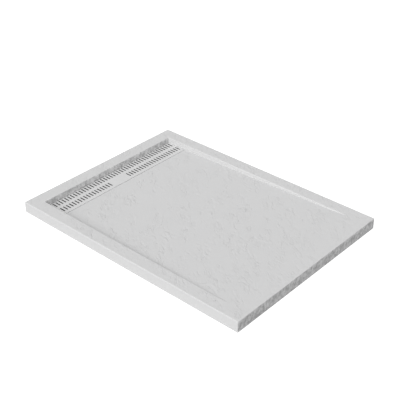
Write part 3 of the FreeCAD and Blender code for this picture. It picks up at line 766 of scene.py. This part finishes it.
def relief_tree():
    """Geometry tree that raises the slate relief on the coat."""
    tree, given, out = new_tree(
        "slate relief",
        [
            ("Flakes per metre", "NodeSocketFloat"),
            ("Step depth", "NodeSocketFloat"),
            ("Streak angle", "NodeSocketFloat"),
            ("Edge depth", "NodeSocketFloat"),
            ("Seed", "NodeSocketFloat"),
            ("Material", "NodeSocketMaterial"),
        ],
    )
    pick = given.outputs
    place = add(tree, "GeometryNodeInputPosition").outputs[0]
    normal = add(tree, "GeometryNodeInputNormal").outputs[0]
    relief, cut = (
        add(tree, "GeometryNodeInputNamedAttribute", {"Name": name}, data_type="FLOAT").outputs[0]
        for name in ("relief", "cut_edge")
    )
    sizes = [pick[name] for name in ("Streak angle", "Flakes per metre", "Step depth", "Seed")]
    face = sums(tree, "MULTIPLY", slate_height(tree, place, *sizes), relief)
    held = ramp(tree, face, *RELIEF_LIMITS, *RELIEF_LIMITS, smooth=False)
    broken = sums(tree, "MULTIPLY", edge_height(tree, place), pick["Edge depth"])
    lift = sums(tree, "ADD", held, sums(tree, "MULTIPLY", broken, cut))
    offset = add(tree, "ShaderNodeVectorMath", {0: normal, "Scale": lift}, operation="SCALE").outputs[0]
    raise_by = {"Geometry": pick["Geometry"], "Offset": offset}
    raised = add(tree, "GeometryNodeSetPosition", raise_by).outputs[0]
    smooth = add(tree, "GeometryNodeSetShadeSmooth", {"Geometry": raised, "Shade Smooth": True}).outputs[0]
    close_tree(tree, given, out, smooth)
    return tree


class TRAY_OT_slab(bpy.types.Operator):
    """Makes the slate-textured coat of the slab, and paints the casting under it near black as painted
    shade in the channel
    """

    bl_idname = "tray.slab"
    bl_label = "Slab"

    def execute(self, context):
        s = in_millimetres(context.scene.tray_slab)
        mesh = bpy.data.meshes.new("slate_coat")
        bm = slab_mesh(s)
        bm.to_mesh(mesh)
        bm.free()
        values = {
            "Flakes per metre": 1000.0 / s.chip_size,
            "Step depth": s.step_depth * MM,
            "Streak angle": s.streak_angle,
            "Edge depth": s.edge_depth * MM,
            "Seed": float(s.seed),
            "Material": slate_material(s),
        }
        place_piece(run_tree("slate_coat", mesh, relief_tree(), values), "tray")
        assign("tray_body", casting_shade_material(s))
        return {"FINISHED"}


def assign(node, material):
    """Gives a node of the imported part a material."""
    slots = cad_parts[node].data.materials
    slots.clear()
    slots.append(material)


# ---------------------------------------------------------------- drain cover


def moved(tree, geometry, by):
    """Geometry moved by a vector."""
    return add(tree, "GeometryNodeTransform", {"Geometry": geometry, "Translation": by}).outputs[0]


def rounded_bar(tree, width, height, radius, count, z):
    """A rounded rectangle curve at a height."""
    sides = {"Width": width, "Height": height}
    bar = add(tree, "GeometryNodeCurvePrimitiveQuadrilateral", sides).outputs[0]
    corners = {"Curve": bar, "Count": count, "Radius": radius, "Limit Radius": True}
    return moved(tree, add(tree, "GeometryNodeFilletCurve", corners, mode="POLY").outputs[0], (0.0, 0.0, z))


def swept(tree, rail, points):
    """Sweeps an open profile along a rail; its corners are (outwards, down)."""
    corners = [(out * MM, down * MM, 0.0) for out, down in points]
    pieces = []
    for start, end in zip(corners, corners[1:]):
        run = add(tree, "GeometryNodeCurvePrimitiveLine", {"Start": start, "End": end}).outputs[0]
        sweep = {"Curve": rail, "Profile Curve": run}
        pieces.append(add(tree, "GeometryNodeCurveToMesh", sweep).outputs[0])
    return joined(tree, pieces)


def mark_painted_shade(tree, geometry):
    """Stores on faces the share of the dark colour that is painted shade."""
    return add(
        tree,
        "GeometryNodeStoreNamedAttribute",
        {"Geometry": geometry, "Name": "painted_shade_sheet", "Value": 1.0},
        data_type="FLOAT",
        domain="FACE",
    ).outputs[0]


def joined(tree, pieces):
    """Joins geometry."""
    join = add(tree, "GeometryNodeJoinGeometry")
    for part in pieces:
        tree.links.new(part, join.inputs[0])
    return join.outputs[0]


def cover_tree(s, box):
    """Geometry tree of the cover: slotted sheet, slot walls and folded edges, welded into one shell."""
    tree, given, out = new_tree(
        "slotted cover",
        [
            ("Slot length", "NodeSocketFloat"),
            ("Slot width", "NodeSocketFloat"),
            ("Slot pitch", "NodeSocketFloat"),
            ("Material", "NodeSocketMaterial"),
        ],
        takes_mesh=False,
    )
    pick = given.outputs
    low, high = box
    top, deep = high.z, (high.z - low.z) / MM
    size = (high.x - low.x, high.y - low.y)
    centre = ((low.x + high.x) / 2, (low.y + high.y) / 2, 0.0)
    bend, sheet, edge = s.bend, s.sheet, s.slot_edge

    def outline(inset, z):
        """The cover's outline, pulled in."""
        width, height = (side - 2 * inset * MM for side in size)
        radius = max(s.corner - inset, LEAST_CORNER) * MM
        return moved(tree, rounded_bar(tree, width, height, radius, CORNER_CELLS, z), centre)

    def rows(z, grow):
        """Slot curves in both rows at a height, grown by an edge."""
        wide = sums(tree, "ADD", pick["Slot length"], 2 * grow * MM)
        narrow = sums(tree, "ADD", pick["Slot width"], 2 * grow * MM)
        radius = sums(tree, "MULTIPLY", narrow, ROUND_END)
        slot = rounded_bar(tree, wide, narrow, radius, END_CELLS, z)
        step = add(tree, "ShaderNodeCombineXYZ", {0: 0.0, 1: pick["Slot pitch"], 2: 0.0}).outputs[0]
        begin = sums(tree, "MULTIPLY", pick["Slot pitch"], -(SLOTS - 1) / 2)
        found = []
        for x, bare_patch in zip(ROW_X, (False, True)):
            start = add(tree, "ShaderNodeCombineXYZ", {0: x * MM, 1: begin, 2: 0.0}).outputs[0]
            run = {"Count": SLOTS, "Start Location": start, "Offset": step}
            inputs = {"Points": add(tree, "GeometryNodeMeshLine", run).outputs[0], "Instance": slot}
            if bare_patch:
                index = add(tree, "GeometryNodeInputIndex").outputs[0]
                after = sums(tree, "GREATER_THAN", index, GAP_AFTER + GAP_SLOTS - 0.5)
                ahead = sums(tree, "LESS_THAN", index, GAP_AFTER - 0.5)
                inputs["Selection"] = sums(tree, "ADD", after, ahead)
            found.append(add(tree, "GeometryNodeInstanceOnPoints", inputs).outputs[0])
        return add(tree, "GeometryNodeRealizeInstances", {0: joined(tree, found)}).outputs[0]

    def fill(z, inset):
        """The flat sheet at a height, with the slots cut out."""
        curves = joined(tree, [outline(inset, 0.0), rows(0.0, edge)])
        return moved(tree, add(tree, "GeometryNodeFillCurve", {"Curve": curves}).outputs[0], (0.0, 0.0, z))

    upper = fill(top, bend)
    lower = add(tree, "GeometryNodeFlipFaces", {0: fill(top - sheet * MM, sheet)}).outputs[0]
    turns = [math.radians(turn) for turn in EDGE_TURNS]
    hem = [(0.0, 0.0)] + [(bend * math.sin(a), bend * (1.0 - math.cos(a))) for a in turns]
    hem += [(bend, deep - HEM_EDGE), (bend - HEM_EDGE, deep)]
    hem += [(bend - sheet + HEM_EDGE, deep), (bend - sheet, deep - HEM_EDGE), (bend - sheet, sheet)]
    skirt = swept(tree, outline(bend, top), hem[:PAINTED_HEM])
    # the hem below the painted corners is dark: painted shade in the gap at the cover's edge
    hidden = swept(tree, outline(bend, top), hem[PAINTED_HEM - 1 :])
    round_off = edge * 0.29
    wall = [(edge, 0.0), (round_off, round_off), (0.0, edge)]
    wall += [(out, sheet - down) for out, down in reversed(wall)]
    walls = add(tree, "GeometryNodeFlipFaces", {0: swept(tree, rows(top, 0.0), wall)}).outputs[0]
    # the underside, the slot walls and the lower hem are dark: painted shade
    shell = joined(tree, [upper, skirt, mark_painted_shade(tree, joined(tree, [lower, walls, hidden]))])
    weld = {"Geometry": shell, "Distance": WELD * MM}
    close_tree(tree, given, out, add(tree, "GeometryNodeMergeByDistance", weld).outputs[0])
    return tree


class TRAY_OT_cover(bpy.types.Operator):
    """Makes the slotted drain cover with its folded edges, and paints its spine"""

    bl_idname = "tray.cover"
    bl_label = "Drain cover"

    def execute(self, context):
        s = in_millimetres(context.scene.tray_cover)
        paint = powder_material("pale powder coat", tuple(s.paint), s.roughness, tuple(s.bare_and_shade))
        values = {
            "Slot length": s.slot_length * MM,
            "Slot width": s.slot_width * MM,
            "Slot pitch": s.slot_pitch * MM,
            "Material": paint,
        }
        tree = cover_tree(s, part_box("grate_cover"))
        piece = run_tree("slotted_cover", bpy.data.meshes.new("slotted_cover"), tree, values)
        tidy_shell(piece.data)
        place_piece(piece, "grate", ["grate_cover"])
        # the spine under the cover is painted at about half the paint's brightness, as painted shade
        spine = powder_material("spine coat in painted shade", toned(s.paint, 0.55), s.roughness + 0.1)
        dressed_copy("grate_spine", "cover_spine", spine, "grate", SPINE_BEVEL)
        return {"FINISHED"}


def sharpen(bm, degrees):
    """Marks the edges that turn by more than an angle as sharp."""
    for edge in bm.edges:
        if len(edge.link_faces) == 2 and edge.calc_face_angle(0.0) > math.radians(degrees):
            edge.smooth = False


def tidy_shell(mesh):
    """Turns a welded shell's faces outwards, smooths its bends and keeps its level faces flat."""
    bm = bmesh.new()
    bm.from_mesh(mesh)
    bmesh.ops.remove_doubles(bm, verts=bm.verts, dist=0.02 * MM)
    bmesh.ops.recalc_face_normals(bm, faces=bm.faces)
    for face in bm.faces:
        face.smooth = abs(face.normal.z) < 0.999
    sharpen(bm, SHEET_SHARP_OVER)
    bm.to_mesh(mesh)
    bm.free()


# ---------------------------------------------------------------- hardware


def dressed_copy(node, name, material, body, bevel):
    """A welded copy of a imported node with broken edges, which stands for it."""
    bm = bmesh.new()
    bm.from_mesh(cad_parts[node].data)
    bmesh.ops.remove_doubles(bm, verts=bm.verts, dist=0.005 * MM)
    bmesh.ops.dissolve_limit(bm, angle_limit=math.radians(1.0), verts=bm.verts, edges=bm.edges)
    turned = [e for e in bm.edges if len(e.link_faces) == 2]
    sharp = [e for e in turned if e.calc_face_angle(0.0) > math.radians(BREAK_OVER)]
    bmesh.ops.bevel(
        bm, geom=sharp, offset=bevel * MM, segments=2, profile=0.6, affect="EDGES", clamp_overlap=True
    )
    for face in bm.faces:
        face.smooth = True
    sharpen(bm, SHARP_OVER)
    piece_from(bm, name, material, body, [node])


def axis_of(box):
    """Where a turned node's upright axis stands, from the node's box."""
    low, high = box
    return ((low.x + high.x) / 2, (low.y + high.y) / 2)


class TRAY_OT_waste(bpy.types.Operator):
    """Finishes the waste flange, its gaskets and its ring nut"""

    bl_idname = "tray.waste"
    bl_label = "Waste"

    def execute(self, context):
        s = in_millimetres(context.scene.tray_hardware)
        centre = axis_of(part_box("waste_flange"))
        turned = turned_material("turned stainless steel", tuple(s.steel), centre, s.turning, 0.3)
        nut = turned_material("ring nut steel", toned(s.steel, 0.9), centre, s.turning * 1.6, 0.38)
        rubber = rubber_material("gasket rubber", tuple(s.rubber), 40.0)
        dressed_copy("waste_flange", "flange", turned, "tray", s.bevel)
        dressed_copy("ring_nut", "back_nut", nut, "tray", s.bevel)
        dressed_copy("flange_gasket", "upper_ring", rubber, "tray", s.bevel * 0.6)
        dressed_copy("lower_gasket", "lower_ring", rubber, "tray", s.bevel * 0.6)
        return {"FINISHED"}


class TRAY_OT_strainer(bpy.types.Operator):
    """Finishes the hair strainer and its knob"""

    bl_idname = "tray.strainer"
    bl_label = "Strainer"

    def execute(self, context):
        s = in_millimetres(context.scene.tray_hardware)
        centre = axis_of(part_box("strainer_knob"))
        plate = turned_material("strainer steel", tuple(s.steel), centre, s.turning, 0.26)
        knob = turned_material("knob steel", toned(s.steel, 1.06), centre, s.turning * 0.6, 0.2)
        dressed_copy("strainer_plate", "hair_strainer", plate, "strainer", s.bevel * 0.6)
        dressed_copy("strainer_knob", "lift_knob", knob, "strainer", s.bevel)
        return {"FINISHED"}


class TRAY_OT_pads(bpy.types.Operator):
    """Finishes the rubber pads under the cover"""

    bl_idname = "tray.pads"
    bl_label = "Pads"

    def execute(self, context):
        s = in_millimetres(context.scene.tray_hardware)
        rubber = rubber_material("pad rubber", toned(s.rubber, 1.3), 90.0)
        dressed_copy("grate_edge_pads", "edge_pads", rubber, "grate", PAD_BEVEL)
        dressed_copy("grate_spine_pads", "spine_pads", rubber, "grate", PAD_BEVEL)
        return {"FINISHED"}


# ---------------------------------------------------------------- stage


def seen_rays(tree):
    """1 for the rays that show a background: camera, glossy and transmission rays; 0 for the rest."""
    path = add(tree, "ShaderNodeLightPath").outputs
    seen = sums(tree, "MAXIMUM", path["Is Camera Ray"], path["Is Glossy Ray"])
    return sums(tree, "MAXIMUM", seen, path["Is Transmission Ray"])


def make_world(sky):
    """A world that looks white and lights the object evenly."""
    world = bpy.data.worlds.new("studio")
    world.use_nodes = True
    tree = world.node_tree
    tree.nodes.clear()
    strength = sums(tree, "ADD", sums(tree, "MULTIPLY", seen_rays(tree), 1.0 - sky), sky)
    glow = add(tree, "ShaderNodeBackground", {"Color": (1.0, 1.0, 1.0, 1.0), "Strength": strength})
    out = add(tree, "ShaderNodeOutputWorld")
    tree.links.new(glow.outputs[0], out.inputs["Surface"])
    return world


def floor_material():
    """Pale matt floor that looks white where no shadow falls; under the slab it gives no light."""
    material, tree, shader, place = new_material("white floor")
    grain = noise(tree, place, 240.0, detail=2.0)
    set_bump(tree, shader, sums(tree, "MULTIPLY", grain, 0.1 * MM), 0.3)
    shader.inputs["Base Color"].default_value = (0.6, 0.6, 0.6, 1.0)
    shader.inputs["Roughness"].default_value = 0.9
    shader.inputs["Specular IOR Level"].default_value = 0.0
    spot = add(tree, "ShaderNodeSeparateXYZ", {0: place}).outputs
    wide, deep = (
        sums(tree, "GREATER_THAN", sums(tree, "ABSOLUTE", spot[k]), (half - DARK_BORDER) * MM)
        for k, half in enumerate(TRAY_HALF)
    )
    seen = sums(tree, "MULTIPLY", seen_rays(tree), sums(tree, "MAXIMUM", wide, deep))
    shader.inputs["Emission Color"].default_value = (1.0, 1.0, 1.0, 1.0)
    tree.links.new(sums(tree, "MULTIPLY", seen, FLOOR_WHITE), shader.inputs["Emission Strength"])
    return material


def facing(turn, height):
    """Direction with a turn from -Y towards +X and a height angle."""
    flat = math.cos(height)
    return Vector((math.sin(turn) * flat, -math.cos(turn) * flat, math.sin(height)))


class TRAY_OT_stage(bpy.types.Operator):
    """Sets up the floor, the light and the camera"""

    bl_idname = "tray.stage"
    bl_label = "Stage"

    def execute(self, context):
        s = context.scene.tray_stage
        scene = context.scene
        scene.view_settings.view_transform = "Standard"
        scene.world = make_world(s.sky)

        bm = bmesh.new()
        bmesh.ops.create_grid(bm, x_segments=8, y_segments=8, size=FLOOR_HALF)
        bmesh.ops.translate(bm, verts=bm.verts, vec=(0.0, 0.0, -FLOOR_GAP))
        mesh = bpy.data.meshes.new("floor")
        bm.to_mesh(mesh)
        bm.free()
        mesh.materials.append(floor_material())
        floor = bpy.data.objects.new("floor", mesh)
        scene.collection.objects.link(floor)

        lamp = bpy.data.lights.new("key", "SUN")
        lamp.energy = s.sun_power
        lamp.angle = s.sun_size
        key = bpy.data.objects.new("key", lamp)
        key.rotation_euler = facing(s.sun_turn, s.sun_height).to_track_quat("Z", "Y").to_euler()
        scene.collection.objects.link(key)

        camera = bpy.data.cameras.new("camera")
        camera.lens = s.lens
        camera.sensor_width = 36.0
        camera.clip_end = 50.0
        viewer = bpy.data.objects.new("camera", camera)
        viewer.rotation_euler = (-facing(s.azimuth, s.elevation)).to_track_quat("-Z", "Y").to_euler()
        viewer.location = s.place
        scene.collection.objects.link(viewer)
        scene.camera = viewer
        return {"FINISHED"}


# ---------------------------------------------------------------- panel and run


class TRAY_PT_panel(bpy.types.Panel):
    """Lists the pieces of the tray"""

    bl_label = "Shower tray"
    bl_idname = "TRAY_PT_panel"
    bl_space_type = "VIEW_3D"
    bl_region_type = "UI"
    bl_category = "Shower tray"

    def draw(self, context):
        layout = self.layout
        for name, group in GROUPS:
            box = layout.box()
            settings = getattr(context.scene, name)
            for key in group.__annotations__:
                box.prop(settings, key)
        for operator in OPERATORS:
            layout.operator(operator.bl_idname)


OPERATORS = (TRAY_OT_slab, TRAY_OT_cover, TRAY_OT_waste, TRAY_OT_strainer, TRAY_OT_pads, TRAY_OT_stage)


def register():
    for _, group in GROUPS:
        bpy.utils.register_class(group)
    for operator in OPERATORS:
        bpy.utils.register_class(operator)
    bpy.utils.register_class(TRAY_PT_panel)
    for name, group in GROUPS:
        setattr(bpy.types.Scene, name, PointerProperty(type=group))


def unregister():
    for name, _ in GROUPS:
        delattr(bpy.types.Scene, name)
    bpy.utils.unregister_class(TRAY_PT_panel)
    for operator in reversed(OPERATORS):
        bpy.utils.unregister_class(operator)
    for _, group in reversed(GROUPS):
        bpy.utils.unregister_class(group)


def main():
    """Makes every piece in order."""
    register()
    for operator in OPERATORS:
        family, verb = operator.bl_idname.split(".")
        if getattr(getattr(bpy.ops, family), verb)() != {"FINISHED"}:
            raise RuntimeError(f"{operator.bl_label} didn't finish")


if __name__ == "__main__":
    main()
